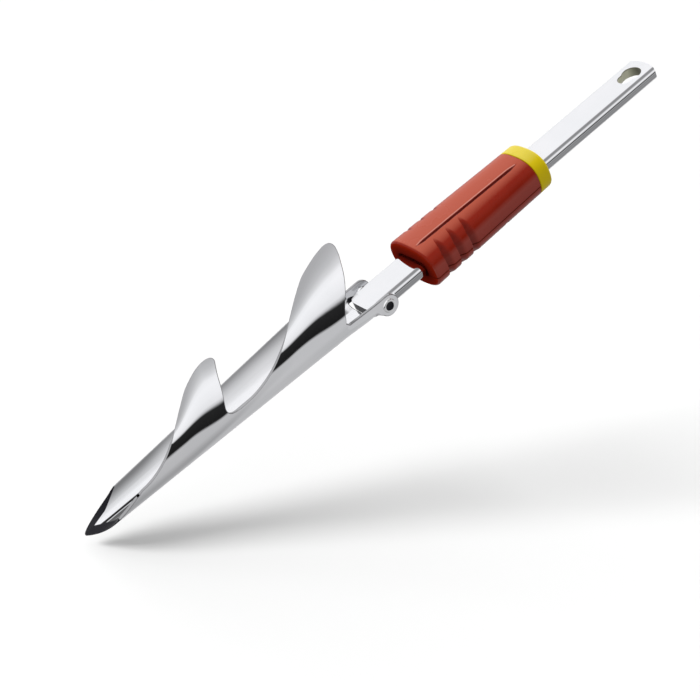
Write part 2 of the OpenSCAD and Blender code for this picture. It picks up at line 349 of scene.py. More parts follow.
# Painted reflections on the metal, as grey levels by the angle it faces
FLIGHT_PAINTED_REFLECTION = [(-8, 0.70), (8, 0.55), (19, 0.45), (27, 0.46), (32, 0.50), (38, 0.58), (44, 0.75), (48, 0.95),
                (53, 1.0)]
TROUGH_PAINTED_REFLECTION = [(-50, 0.8), (-28, 0.08), (-7, 0.14), (-2, 0.10), (-1, 0.9), (1, 0.9), (2, 0.03), (12, 0.03),
                (14, 1.0), (29, 1.0), (34, 0.91), (38, 0.84), (42, 0.80), (45, 0.75), (47, 0.67), (49, 0.56),
                (51, 0.43), (53, 0.31), (55, 0.23), (62, 0.18), (72, 0.9)]
EAR_PAINTED_REFLECTION = [(45, 1.0), (70, 0.6), (110, 0.6), (130, 1.0)]
BAR_PAINTED_REFLECTION = [(69, 1.0), (71, 0.5), (92, 0.5), (105, 0.42), (125, 0.75), (150, 0.9)]

# Materials
LENGTHWISE = (0.05, 1, 1)
PLATE = {"dark": (0.86, 0.87, 0.88), "light": (0.91, 0.91, 0.92)}
POLISH = {"smooth": 0.02, "rough": 0.06, "grain": LENGTHWISE, "depth": 0.05}
chrome = metal("polished_rivet", **PLATE, **POLISH)
# Rims in a darker chrome: painted shade along the edges of the sheet
rim_chrome = metal("rim_painted_shade", dark=(0.34, 0.34, 0.35), light=(0.44, 0.44, 0.45), smooth=0.10, rough=0.18,
                   grain=LENGTHWISE, depth=0.2)
# The plate, bar and trough carry painted reflections by the way they face
flight_chrome = metal("polished_plate_painted_reflection", **PLATE, **POLISH, painted_reflection=FLIGHT_PAINTED_REFLECTION)
bar_chrome = metal("polished_bar_painted_reflection", **PLATE, smooth=0.02, rough=0.07, grain=(0.02, 1, 1), depth=0.06,
                   painted_reflection=BAR_PAINTED_REFLECTION)
trough = metal("drawn_trough_painted_reflection", **PLATE, smooth=0.06, rough=0.12, grain=LENGTHWISE, depth=0.05,
               painted_reflection=TROUGH_PAINTED_REFLECTION, raised_painted_reflection=EAR_PAINTED_REFLECTION)
# Rough as ground steel; its near-black colour is painted shade, used on the bevels of the point, the bar's
# foot face and the rivet's dimple
ground_and_shade = metal("ground_edge_painted_shade", dark=(0.012, 0.012, 0.015), light=(0.035, 0.035, 0.04), smooth=0.22, rough=0.42,
               grain=(1, 0.2, 1), depth=0.5)
dull = metal("plain_steel", dark=(0.42, 0.42, 0.43), light=(0.55, 0.55, 0.56), smooth=0.25, rough=0.45,
             grain=(1, 1, 1), depth=0.4)
wall = hole_wall("hole_wall")
# The top colour is painted light on faces turned up, the low colour painted shade where the skin is marked as
# sunk
RED = {"dark": (0.29, 0.014, 0.004), "light": (0.33, 0.018, 0.005), "smooth": 0.22, "rough": 0.30,
       "top": (0.47, 0.086, 0.047), "low": (0.12, 0.007, 0.004)}
# Red with a painted sheen on its sides and a painted highlight on the panel's lip
red = plastic("moulded_red", **RED, shine=0.12, side_sheen=(0.42, 0.10, 0.08), lip_highlight=(0.72, 0.30, 0.24))
matt_red = plastic("moulded_red_ends", **RED, shine=0.0)
# Yellow with painted light on its top
yellow = plastic("moulded_yellow", dark=(0.77, 0.59, 0.0), light=(0.81, 0.62, 0.001), smooth=0.26, rough=0.36,
                 top=(0.74, 0.60, 0.05), low=(0.4, 0.3, 0.0), shine=0.12)


# Gouge section along the blade
def gouge_radius(x):
    return mix(ROOT_RADIUS, TIP_RADIUS, -x / BLADE)


def gouge_centre(x):
    return -BAR_HALF - BACK_RISE * x / BLADE + gouge_radius(x)


# Edges of the gouge as lengths round its wall from the widest point of the near side
FRONT_FOOT = -184.0
NEAR_SLOPE = 0.37
NEAR_SOFT = 3.0
NEAR_CURVE = 0.0055
NECK_DROP = 5.5
POINT_CUT = 30.0
POINT_TURN = math.radians(115)
POINT_BELLY = 0.6
FAR_TURN = math.radians(135)
FAR_FLAT = 3.0
FAR_REACH = 0.50


# The near edge falls to the point in front of the flights, and a little to the neck behind them
def near_edge(x):
    d = np.maximum(0, FRONT_FOOT + 2 - x)
    drop = ramp(x, start=-52, end=-30, low=0, high=NECK_DROP)
    return -NEAR_SLOPE * d * d / (d + NEAR_SOFT) - NEAR_CURVE * d * d - drop


# The far edge is cut back to the point, behind the cut it stands a little above the turn of the far wall
def far_edge(x):
    behind = np.clip((x + BLADE) / POINT_CUT, 0, 1) ** POINT_BELLY
    return -gouge_radius(x) * mix(POINT_TURN, FAR_TURN + FAR_REACH, behind)


FIRST_BEND = 11.0
BETWEEN_FLIGHTS = -115.0


def by_flight(x, front, rear):
    return np.where(x < BETWEEN_FLIGHTS, front, rear)


# Flights rise on a wide bend, then curl in tighter towards their leading edge
def curl_radius(x):
    front = ramp(x, start=-160, end=-130, low=7, high=36)
    rear = ramp(x, start=-87, end=-27, low=10, high=44)
    return by_flight(x, front, rear)


# Towards their back edges the flights lean in a little more
def lean_in(x):
    front = ramp(x, start=-150, end=-124, low=0, high=3)
    rear = ramp(x, start=-75, end=-34, low=0, high=4)
    return np.radians(by_flight(x, front, rear))


# Sheet at length l above the widest point of the near wall, flights lean back by their rake
def sheet_point(x, l):
    r = gouge_radius(x)
    bend = np.where(l <= 0, r, FLIGHT_RADIUS)
    low = np.clip(l, -FAR_TURN * r, FIRST_BEND)
    start = FIRST_BEND / FLIGHT_RADIUS
    curl = curl_radius(x)
    turn = start + np.maximum(l - FIRST_BEND, 0) / curl
    y = -r + bend * (1 - np.cos(low / bend)) + curl * (math.cos(start) - np.cos(turn))
    z = gouge_centre(x) + bend * np.sin(low / bend) + curl * (np.sin(turn) - math.sin(start))
    lean = np.where(l > 0, lean_in(x), 0)
    out = y + r
    up = z - gouge_centre(x)
    y = -r + out * np.cos(lean) + up * np.sin(lean)
    z = gouge_centre(x) + up * np.cos(lean) - out * np.sin(lean)
    rest = np.maximum(-FAR_TURN * r - l, 0)
    turn = FAR_TURN + rest / (FAR_FLAT * r)
    y = y + FAR_FLAT * r * (math.cos(FAR_TURN) - np.cos(turn))
    z = z + FAR_FLAT * r * (math.sin(FAR_TURN) - np.sin(turn))
    return np.stack([x + RAKE * np.maximum(l, 0), y, z], -1)


# Clevis section with round corners, walked from the far ear over the floor to the near ear
CORNER = 8.6
SIDE = EAR_TOP + BAR_HALF - CORNER
ARC = CORNER * math.pi / 2
WALK = 2 * (SIDE + ARC + EAR_OUT - CORNER)
WEB = 7.4


def clevis_point(x, f):
    w = f * WALK
    far = w < WALK / 2
    w = np.where(far, w, WALK - w)
    turn = np.clip((w - SIDE) / CORNER, 0, math.pi / 2)
    y = EAR_OUT - CORNER * (1 - np.cos(turn)) - np.maximum(0, w - SIDE - ARC)
    z = EAR_TOP - np.minimum(w, SIDE) - CORNER * np.sin(turn)
    flat = ease(FLOOR_END + 0.3, FLOOR_END + 5, x)
    y = mix(y, EAR_OUT, flat)
    z = mix(z, EAR_TOP - w, flat)
    return np.stack([x, np.where(far, y, -y), z], -1)


# Outside of the sheet over position x and across value q: 0 far edge, SPAN near edge, more on the flights
SPAN = 60.0
NEAR_NECK_START = -33.0
NEAR_NECK_END = -5.0
FLIGHT_NECK_DELAY = 8.0
FAR_NECK_START = -42.0
FAR_NECK_END = FLOOR_END - 3


# Half way between a straight rise and an eased one
def steady(a, b, x):
    f = np.clip((x - a) / (b - a), 0, 1)
    return mix(f, ease(a, b, x), 0.5)


def outside(x, q):
    near = near_edge(x)
    far = far_edge(x)
    f = np.minimum(q / SPAN, 1)
    rise = np.maximum(q - SPAN, 0)
    body = sheet_point(x, mix(far, near, f) + rise)
    delay = ramp(rise, start=0, end=6, low=0, high=FLIGHT_NECK_DELAY)
    near_share = steady(NEAR_NECK_START + delay, NEAR_NECK_END, x)
    far_share = ease(FAR_NECK_START, FAR_NECK_END, x)
    share = ramp(f, start=0.3, end=0.6, low=far_share, high=near_share)
    return mix(body, clevis_point(x, f), share[..., None])


def surface_normal(shape, x, q, step=0.05):
    along = shape(x + step, q) - shape(x - step, q)
    across = shape(x, q + step) - shape(x, q - step)
    return unit(np.cross(along, across))


# Shading of the flights' feet, turned a little downwards: it widens the dark reflection there
FOOT_FULL = 12.0
FOOT_NONE = 32.0


def foot_turn(x, q):
    rise = np.maximum(near_edge(x) + q - SPAN, 0)
    most = by_flight(x, 3.8, ramp(x, start=-82, end=-50, low=1.5, high=5.2))
    return np.radians(most) * np.clip(rise / FOOT_FULL, 0, 1) * (1 - ease(FOOT_FULL, FOOT_NONE, rise))


# Shading of the trough's far wall, turned to be a little darker towards the point
WALL_FULL = 20.0
WALL_NONE = 32.0


def wall_turn(x, q):
    most = ramp(x, start=-178, end=-140, low=2.4, high=-1.2)
    return np.radians(most) * (1 - ease(WALL_FULL, WALL_NONE, q))


def turn_normals(normals, angle):
    x, y, z = normals.T
    c = np.cos(angle)
    s = np.sin(angle)
    return np.stack([x, y * c - z * s, z * c + y * s], -1)


# Sheet thickness: ground to an edge along the cut of the point
NEAR_CUT = 22.0
FAR_CUT_END = -BLADE + POINT_CUT
NEAR_CUT_END = -BLADE + NEAR_CUT
FAR_GRIND = 3.9
NEAR_GRIND = 6.5
FAR_GRIND_RUN = 13.0
NEAR_GRIND_RUN = 9.0
LEAST_GRIND = 0.02
EDGE_SHARE = 0.2


def far_grind(x):
    return FAR_GRIND * np.clip((FAR_CUT_END - x) / FAR_GRIND_RUN, LEAST_GRIND, 1)


def near_grind(x):
    return NEAR_GRIND * np.clip((NEAR_CUT_END - x) / NEAR_GRIND_RUN, LEAST_GRIND, 1)


# Distances from the far and the near edge, as shares of the ground widths there, none of it on the flights
def ground_gaps(x, q):
    width = (near_edge(x) - far_edge(x)) / SPAN
    near_gap = np.where(x < NEAR_CUT_END, np.maximum(SPAN - q, 0) * width / near_grind(x), SPAN)
    far_gap = np.where(x < FAR_CUT_END, q * width / far_grind(x), SPAN)
    return far_gap, near_gap


def thickness(x, q):
    far_gap, near_gap = ground_gaps(x, q)
    far_cut = 1 - ease(FAR_CUT_END - 6, FAR_CUT_END, x)
    near_cut = 1 - ease(NEAR_CUT_END - 8, NEAR_CUT_END, x)
    far_thin = mix(1, mix(EDGE_SHARE, 1, np.clip(far_gap, 0, 1)), far_cut)
    near_thin = mix(1, mix(EDGE_SHARE, 1, np.clip(near_gap, 0, 1)), near_cut)
    return SHEET * np.minimum(far_thin, near_thin)


def inside(x, q):
    return outside(x, q) - thickness(x, q)[..., None] * surface_normal(outside, x, q)


# Smooth curve through points, about evenly spaced
def smooth_curve(points, step):
    p = np.asarray(points, float)
    p = np.vstack([2 * p[0] - p[1], p, 2 * p[-1] - p[-2]])
    out = []
    for i in range(1, len(p) - 2):
        count = max(2, int(np.linalg.norm(p[i + 1] - p[i]) / step))
        for t in np.arange(count) / count:
            a = 2 * p[i] + (p[i + 1] - p[i - 1]) * t
            b = (2 * p[i - 1] - 5 * p[i] + 4 * p[i + 1] - p[i + 2]) * t ** 2
            c = (3 * p[i] - p[i - 1] - 3 * p[i + 1] + p[i + 2]) * t ** 3
            out.append((a + b + c) / 2)
    return np.array(out + [p[-2]])


# Flat points from positions x and across values q, either of which may be one number
def pairs(x, q):
    return np.stack(np.broadcast_arrays(x, q), -1)


# Edge of a flight: half a cosine wave up to last, then a given peak and back edge, in true x and height
RIM_ROUND = 0.5
INSET_RUN = 6.0
EDGE_STEP = 0.9


def flight_edge(foot, peak, height, last, back):
    x = np.linspace(foot, last, 40)
    lead = pairs(x, height * (1 - np.cos(math.pi * (x - foot) / (peak - foot))) / 2)
    curve = smooth_curve(np.vstack([lead[::4], back]), EDGE_STEP)
    way = unit(np.gradient(curve, axis=0))
    inset = RIM_ROUND * np.minimum(1, np.maximum(curve[:, 1], 0) / INSET_RUN)
    curve = curve + inset[:, None] * pairs(way[:, 1], -way[:, 0])
    base = curve[:, 0] - RAKE * np.maximum(curve[:, 1], 0)
    return pairs(base, SPAN + curve[:, 1] - near_edge(base))


REAR_FOOT = -108.0
FRONT_BACK = [(-131.0, 30.0), (-125.2, 32.8), (-119.3, 34.9), (-114.2, 36.0), (-109.9, 36.0), (-106.9, 34.7),
              (-106.3, 32.3), (-107.9, 29.5), (-111.0, 23.9), (-114.0, 17.0), (-117.2, 10.0), (-118.9, 5.6),
              (-118.6, 2.6), (-116.4, 0.9), (-112.5, 0.1), (REAR_FOOT, 0)]
REAR_BACK = [(-24.5, 41.8), (-17.4, 43.3), (-13.7, 43.6), (-10.7, 42.3), (-9.9, 38.9), (-11.5, 34.0),
             (-14.2, 28.6), (-18.0, 21.5), (-22.5, 14.7), (-27.2, 8.6), (-31.2, 2.2), (-33.4, -3.4)]
NOSE = -BLADE + 0.35
NEAR_NOSE_LENGTH = 36.0
FAR_NOSE_LENGTH = 37.0
CLOSER_AT_NOSE = 1.6
EAR_FOOT = -8.5


# Flat outline of the blade: along the near side with its flights, round the clevis and back on the far side
def blade_outline():
    steps = np.linspace(0, 1, 24)
    lead = pairs(NOSE + NEAR_NOSE_LENGTH * steps ** CLOSER_AT_NOSE, SPAN)
    front = flight_edge(FRONT_FOOT, peak=-109, height=37.4, last=-136, back=FRONT_BACK)
    rear = flight_edge(REAR_FOOT, peak=-12, height=44.6, last=-30, back=REAR_BACK)
    neck = pairs(np.linspace(-32, 0, 27), SPAN)
    turn = np.radians(np.linspace(90, -150, 30))
    ear_x = np.append(EAR_AHEAD + EAR_RADIUS * np.cos(turn), EAR_FOOT)
    ear_down = np.append(EAR_TOP - EAR_RADIUS * np.sin(turn), WEB)
    near_ear = pairs(ear_x, SPAN * (1 - ear_down / WALK))
    far_ear = pairs(ear_x, SPAN * ear_down / WALK)
    clevis_floor = pairs(FLOOR_END, SPAN * np.linspace(WEB / WALK, 1 - WEB / WALK, 30))
    rim = pairs(np.linspace(-1, -BLADE + 38, 160), 0.0)
    far_cut = pairs(NOSE + FAR_NOSE_LENGTH * (1 - steps) ** CLOSER_AT_NOSE, 0.0)
    tip = pairs(NOSE, np.linspace(0, SPAN, 11)[1:-1])
    return np.vstack([lead[:-1], front[1:], rear[1:-1], neck[1:-1], near_ear, clevis_floor[::-1],
                      far_ear[::-1], rim, far_cut[1:], tip])


# Where the grinding of the point stops on the inside
def grind_lines():
    far_x = np.linspace(-BLADE + 1.0, FAR_CUT_END - 0.5, 34)
    near_x = np.linspace(-BLADE + 1.0, -BLADE + 21.8, 26)
    far_share = far_grind(far_x) / (near_edge(far_x) - far_edge(far_x))
    near_share = near_grind(near_x) / (near_edge(near_x) - far_edge(near_x))
    return [pairs(far_x, SPAN * np.minimum(far_share, 0.38)),
            pairs(near_x, SPAN * (1 - np.minimum(near_share, 0.6)))]


def inside_polygon(points, polygon):
    result = np.zeros(len(points), bool)
    for a, b in zip(polygon, np.roll(polygon, -1, 0)):
        hit = (a[1] > points[:, 1]) != (b[1] > points[:, 1])
        with np.errstate(divide="ignore", invalid="ignore"):
            cross = a[0] + (points[:, 1] - a[1]) / (b[1] - a[1]) * (b[0] - a[0])
        result ^= hit & (points[:, 0] < cross)
    return result


# Flat triangles that fill an outline, with edges along the given lines
KEEP_CLEAR = 0.6


def fill(outline, lines, spacing):
    low = outline.min(0)
    high = outline.max(0)
    gx, gy = np.meshgrid(np.arange(low[0], high[0], spacing), np.arange(low[1], high[1], spacing))
    gx = gx + spacing / 2 * (np.arange(gx.shape[0]) % 2)[:, None]
    grid = pairs(gx.ravel(), gy.ravel())
    grid = grid[inside_polygon(grid, outline)]
    fixed = np.vstack([outline] + lines)
    gap = np.min(np.linalg.norm(grid[:, None] - fixed[None], axis=2), axis=1)
    flat = np.vstack([fixed, grid[gap > spacing * KEEP_CLEAR]])
    n = len(outline)
    edges = [(i, (i + 1) % n) for i in range(n)]
    for line in lines:
        edges += [(n + i, n + i + 1) for i in range(len(line) - 1)]
        n += len(line)
    found = delaunay_2d_cdt([Vector(p) for p in flat], edges, [], 1, 1e-6)
    return np.array([tuple(v) for v in found[0]]), np.array(found[2])


# Triangles turned to face along the normals of their first points
def face_out(faces, points, normals):
    one, two, three = points[faces].transpose(1, 0, 2)
    flip = np.sum(np.cross(two - one, three - one) * normals[faces[:, 0]], axis=1) < 0
    return np.where(flip[:, None], faces[:, ::-1], faces)


def border_edges(faces):
    directed = {(a, b) for f in faces for a, b in zip(f, np.roll(f, -1))}
    return sorted((a, b) for a, b in directed if (b, a) not in directed)


# Rings of points and normals round the rim of the sheet, from its outer to its inner skin
RIM_TURNS = np.radians([30, 60, 90])
RIM_SHARE = 0.45


def rim_rings(outer, inner, normal, out, thick):
    middle = (outer + inner) / 2
    radius = np.minimum(RIM_ROUND, RIM_SHARE * thick)[:, None]
    rings = []
    ways = []
    for side, turns in ((1, RIM_TURNS), (-1, RIM_TURNS[::-1])):
        centre = middle + side * (thick[:, None] / 2 - radius) * normal
        for turn in turns:
            way = side * math.cos(turn) * normal + math.sin(turn) * out
            rings.append(centre + radius * way)
            ways.append(way)
    return rings, ways


# Closed sheet from a flat outline: outer skin, inner skin and a flat rim with round edges
OUTER_KIND, GROUND_KIND, INNER_KIND, RIM_KIND = range(4)
SHEET_MATERIALS = [flight_chrome, ground_and_shade, trough, rim_chrome]
PLAIN_FROM = 0.97
THIN_RIM = 0.9 * SHEET
EARS_RAISED = (-52, -40)
FLIGHTS_RAISED = (SPAN - 1, SPAN + 5)


def sheet_mesh(outline, lines, spacing):
    flat, faces = fill(outline, lines, spacing)
    x, q = flat.T
    count = len(flat)
    outer = outside(x, q)
    normal = surface_normal(outside, x, q)
    faces = face_out(faces, outer, normal)
    thick = thickness(x, q)
    inner = outer - thick[:, None] * normal
    plain = (np.minimum(*ground_gaps(x, q)) > PLAIN_FROM)[:, None]
    inner_normal = -np.where(plain, normal, surface_normal(inside, x, q))
    inner_normal = np.where(plain, turn_normals(inner_normal, wall_turn(x, q)), inner_normal)
    outer_normal = turn_normals(normal, foot_turn(x, q))

    border = border_edges(faces)
    follow = dict(border)
    before = {b: a for a, b in border}
    rim = np.array(sorted(follow))
    tangent = unit(outer[[follow[i] for i in rim]] - outer[[before[i] for i in rim]])
    out = unit(np.cross(tangent, normal[rim]))
    rings, ways = rim_rings(outer[rim], inner[rim], normal[rim], out, thick[rim])
    points = np.vstack([outer, inner] + rings)
    normals = np.vstack([outer_normal, inner_normal] + ways)

    every = [tuple(f) for f in faces] + [tuple(count + f[::-1]) for f in faces]
    middle_x, middle_q = flat[faces].mean(1).T
    ground_face = np.minimum(*ground_gaps(middle_x, middle_q)) < 1
    kinds = [OUTER_KIND] * len(faces) + list(np.where(ground_face, GROUND_KIND, INNER_KIND))
    place = {v: i for i, v in enumerate(rim)}
    numbers = [rim]
    numbers += [2 * count + s * len(rim) + np.arange(len(rim)) for s in range(len(rings))]
    numbers += [count + rim]
    for a, b in border:
        i = place[a]
        k = place[b]
        for one, two in zip(numbers[:-1], numbers[1:]):
            every.append((one[k], one[i], two[i], two[k]))
            kinds.append(GROUND_KIND if thick[a] < THIN_RIM else RIM_KIND)
    # Inner skin of the ears and flights, marked for their own painted reflection
    raised = np.zeros(len(points))
    raised[count:2 * count] = np.maximum(ease(*EARS_RAISED, x), ease(*FLIGHTS_RAISED, q))
    return points, every, normals, kinds, raised


TRIANGLE_SPACING = 1.5
points, faces, normals, kinds, raised = sheet_mesh(blade_outline(), grind_lines(), TRIANGLE_SPACING)
sheet = make("blade_sheet", points, faces, "blade", ["auger_blade"], SHEET_MATERIALS,
             normals, kinds)
mark(sheet, "raised", raised)
sheet.visible_glossy = False

# Bar: section with half round sides, convex end, round cornered foot with a sloped top edge, and keyhole
BAR_FLAT = BAR_HALF_WIDTH - BAR_HALF
END_CURVE = 24.0
FOOT_CORNER = 7.0
END_PART = 210.0
FOOT_PART = 8.0
SLOPE_LENGTH = 5.3
SLOPE_BEND = 4.9
SLOPE_BEND_HEIGHT = 0.92
FACE_TOP = 2.4
FACE_LOW = -3.4
FACE_ROUND = 0.6


def bar_half_height(y):
    past = max(0.0, abs(y) - BAR_HALF_WIDTH + BAR_HALF)
    return math.sqrt(max(0.0, BAR_HALF ** 2 - past ** 2))


def bar_foot(y):
    past = max(0.0, abs(y) - BAR_HALF_WIDTH + FOOT_CORNER)
    return BAR_FOOT + FOOT_CORNER - math.sqrt(FOOT_CORNER ** 2 - past ** 2)


def bar_end(y):
    return BAR_END - END_CURVE + math.sqrt(END_CURVE ** 2 - y ** 2)


# One ring along the bar: round the end, along the top, down the foot and back below
def bar_ring(y):
    h = bar_half_height(y)
    share = h / BAR_HALF
    foot = bar_foot(y)
    end = bar_end(y)
    return [(END_PART, -h), (end, -h), (end, h), (END_PART, h), (FOOT_PART, h),
            (foot + SLOPE_LENGTH * share, h), (foot + SLOPE_BEND * share, SLOPE_BEND_HEIGHT * h),
            (foot, FACE_TOP * share), (foot, FACE_LOW * share), (foot + FACE_ROUND * share, -h),
            (FOOT_PART, -h)]


def bar_mesh():
    side = [BAR_FLAT + BAR_HALF * math.sin(math.radians(a)) for a in np.linspace(0, 90, 19)]
    ys = [-y for y in side[::-1]] + list(np.linspace(-BAR_FLAT, BAR_FLAT, 9)[1:-1]) + side
    bm = bmesh.new()
    columns = [[bm.verts.new(in_frame((x, y, z))) for x, z in bar_ring(y)] for y in ys]
    for one, two in zip(columns[:-1], columns[1:]):
        for i in range(len(one)):
            k = (i + 1) % len(one)
            bm.faces.new((one[i], one[k], two[k], two[i]))
    bmesh.ops.remove_doubles(bm, verts=bm.verts, dist=1e-7)
    bmesh.ops.recalc_face_normals(bm, faces=bm.faces)
    mesh = bpy.data.meshes.new("bar_flat")
    bm.to_mesh(mesh)
    bm.free()
    return mesh


# Keyhole: a round hole and a slot nearly as wide, running towards the grip and wider at the bottom
HOLE = 6.5
SLOT_HALF = 5.0
SLOT_BACK = 6.0
HOLE_LEVELS = ((-9, 1.6), (3, 1.0), (9, 1.0))


def keyhole_tool():
    meet = math.asin(SLOT_HALF / HOLE)
    hole_turns = np.linspace(meet - math.pi, math.pi - meet, 73)
    slot_turns = np.linspace(math.pi / 2, math.pi * 1.5, 41)
    outline = [(HOLE * math.cos(t), HOLE * math.sin(t)) for t in hole_turns]
    outline += [(SLOT_HALF * math.cos(t) - SLOT_BACK, SLOT_HALF * math.sin(t)) for t in slot_turns]
    points = [(PIN_TO_HOLE + x * s, y * s, z) for z, s in HOLE_LEVELS for x, y in outline]
    return plain_mesh("keyhole", points, stack_faces(0, len(outline), len(HOLE_LEVELS)))


def cut(piece, tool_mesh):
    tool = bpy.data.objects.new("cutter", tool_mesh)
    scene.collection.objects.link(tool)
    item = piece.modifiers.new("cut", "BOOLEAN")
    item.operation = "DIFFERENCE"
    item.solver = "EXACT"
    item.object = tool
    depsgraph = bpy.context.evaluated_depsgraph_get()
    mesh = bpy.data.meshes.new_from_object(piece.evaluated_get(depsgraph))
    piece.modifiers.clear()
    piece.data = mesh
    bpy.data.objects.remove(tool)


# Faces of the bar by their place, in metres from the hang hole, and by the way they face
HOLE_REACH = 0.0135
HOLE_SIDE = 0.009
HOLE_UPRIGHT = 0.6
FOOT_AWAY = 0.2
FOOT_AHEAD = -0.15
FOOT_UPRIGHT = 0.35


def in_keyhole(face):
    place = face.center
    close = place.length < HOLE_REACH and abs(place.y) < HOLE_SIDE and place.x < HOLE_SIDE
    return close and abs(face.normal.z) < HOLE_UPRIGHT


def on_foot_face(face):
    way = face.normal
    return face.center.length > FOOT_AWAY and way.x < FOOT_AHEAD and abs(way.z) < FOOT_UPRIGHT


BAR_SHARP = math.radians(25)
bar = bpy.data.objects.new("bar_flat", bar_mesh())
scene.collection.objects.link(bar)
cut(bar, keyhole_tool())
bar.data.materials.clear()
# The keyhole wall and the foot face carry painted shade, the rest a painted reflection
for material in (bar_chrome, wall, ground_and_shade):
    bar.data.materials.append(material)
for face in bar.data.polygons:
    if in_keyhole(face):
        face.material_index = 1
    if on_foot_face(face):
        face.material_index = 2
bar.data.shade_smooth()
bar.data.set_sharp_from_angle(angle=BAR_SHARP)
edge = bar.modifiers.new("edges", "BEVEL")
edge.width = 0.0004
edge.segments = 3
edge.limit_method = "ANGLE"
edge.angle_limit = BAR_SHARP
edge.harden_normals = True
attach(bar, "handle")
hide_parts("handle_bar")

# Grip section: a superellipse that tapers towards the collar
GRIP_LOW_HALF = 21.95
GRIP_HIGH_HALF = 18.35
TAPER_END = 1.12
GRIP_HALF_THICK = 14.45
GRIP_POWER = 2.5
BORE_POWER = 4
PARTING = -3.4
ARC_POINTS = 221
PANEL_LEVEL = 5.0


def oval(turn, a, b, power):
    c = np.cos(turn)
    s = np.sin(turn)
    y = a * np.sign(c) * np.abs(c) ** (2 / power)
    z = b * np.sign(s) * np.abs(s) ** (2 / power)
    return np.stack([y, z], -1)


def grip_half_width(x):
    along = (x - GRIP_START) / (GRIP_END - GRIP_START)
    return mix(GRIP_LOW_HALF, GRIP_HIGH_HALF, np.clip(along, 0, TAPER_END))


def at_x(x, section):
    return np.column_stack([np.full(len(section), x), section])


# Groove along the near edge of the top panel, the only one in view: its place and half width
GROOVE_HALF = 1.25
GROOVE_DEPTH = 0.9
GROOVE_OPENS = (GRIP_START + 1.5, GRIP_START + 10)
GROOVE_CLOSES = (GRIP_START + 80, GRIP_START + 90.5)


def panel_groove(x):
    line = mix(6.0, 7.5, (x - GRIP_START - 2.4) / 86)
    width = GROOVE_HALF * ease(*GROOVE_OPENS, x) * (1 - ease(*GROOVE_CLOSES, x))
    return line, width


# Lip of the panel above that groove, where a highlight is painted
def panel_lip_highlight(x, y, z):
    line, width = panel_groove(x)
    gap = line - width + y
    return ease(-0.2, 0.15, gap) * (1 - ease(0.3, 0.9, gap)) * (width > 0.25) * (z > PANEL_LEVEL)


# How far the skin is sunk by the finger grooves, which narrow and slant upwards, and by the panel groove
FINGERS = (45.7, 56.3, 66.9)
FINGER_TOP = 13.6
FINGER_RUN = 6.0
FINGER_HALF = 2.7
FINGER_LEAST = 0.3
FINGER_SLANT = 1.4
FINGER_DEPTH = 2.3


def sunk(x, y, z):
    depth = 0.0
    run = np.clip((FINGER_TOP - z) / FINGER_RUN, 0, 1)
    fade = ease(-13.5, -10, z) * ease(8, 11, np.abs(y))
    half = FINGER_LEAST + FINGER_HALF * np.sqrt(run)
    deepen = np.minimum(1, 1.6 * run)
    for centre in FINGERS:
        u = (x - centre - FINGER_SLANT * (1 - run)) / half
        depth = depth + FINGER_DEPTH * ease(-1, -0.78, u) * (1 - ease(-0.7, 1.05, u)) * deepen * fade
    line, width = panel_groove(x)
    groove = 1 - ease(0.3, 1, np.abs(-y - line) / np.maximum(width, 0.05))
    return depth + GROOVE_DEPTH * groove * width * (z > PANEL_LEVEL)


# Arc of a section above or below the parting plane, with a small step back at the parting line
STEP_RISE = 0.5
STEP_DROP = 0.42
STEP_IN = 0.9


def section_arc(a, b, power, up, step):
    level = (PARTING + up * STEP_RISE) / b
    start = math.asin(np.sign(level) * abs(level) ** (power / 2))
    turn = np.linspace(start, up * math.pi - start, ARC_POINTS)
    arc = oval(turn, a, b, power)
    ends = arc[[0, -1]] - [[step, up * STEP_DROP], [-step, up * STEP_DROP]]
    return np.vstack([ends[:1], arc, ends[1:]])


# Section loop of a shell, out and back inside, with its marks for painted shade in the grooves and on the
# inside, dark at the parting line, and for a painted highlight on the lip
def shell_loop(x, shrink, inner_a, inner_b, up):
    a = grip_half_width(x) - shrink
    b = GRIP_HALF_THICK - shrink
    outer = section_arc(a, b, GRIP_POWER, up, STEP_IN)
    inner = section_arc(inner_a, inner_b, BORE_POWER, up, 0)
    y, z = outer.T
    way_y = np.sign(y) * np.abs(y / a) ** (GRIP_POWER - 1) / a
    way_z = np.sign(z) * np.abs(z / b) ** (GRIP_POWER - 1) / b
    depth = sunk(x, y, z)
    outer = outer - unit(np.stack([way_y, way_z], -1)) * depth[:, None]
    on_panel = (z > PANEL_LEVEL) & (np.abs(y) < 10)
    dark = np.minimum(1, depth / GROOVE_DEPTH) * np.where(on_panel, 1, 0.35)
    dark[[0, -1]] = 1
    dark = np.append(dark, np.ones(len(inner)))
    lip_highlight = np.append(panel_lip_highlight(x, y, z), np.zeros(len(inner)))
    return at_x(x, np.vstack([outer, inner[::-1]])), dark, lip_highlight


# Skin through the loops of a shell, matt inside, at the ends and on the first rings round the mouth
MATT_RINGS = 5


def loft(loops, outer_count):
    n = len(loops[0])
    faces = []
    kinds = []
    for i in range(len(loops) - 1):
        faces += band(i * n, (i + 1) * n, n)
        kinds += [int(j >= outer_count - 1 or i < MATT_RINGS) for j in range(n)]
    for base, order in ((0, 1), ((len(loops) - 1) * n, -1)):
        for j in range(outer_count - 1):
            quad = (base + j, base + n - 1 - j, base + n - 2 - j, base + j + 1)
            faces.append(quad[::order])
            kinds.append(1)
    return np.vstack(loops), faces, kinds


# Places along a shell with how far its section shrinks there, closer together at the finger grooves
END_ROUND = 2.0
END_PULL = 1.3
COARSE = 0.7
FINE = 0.3


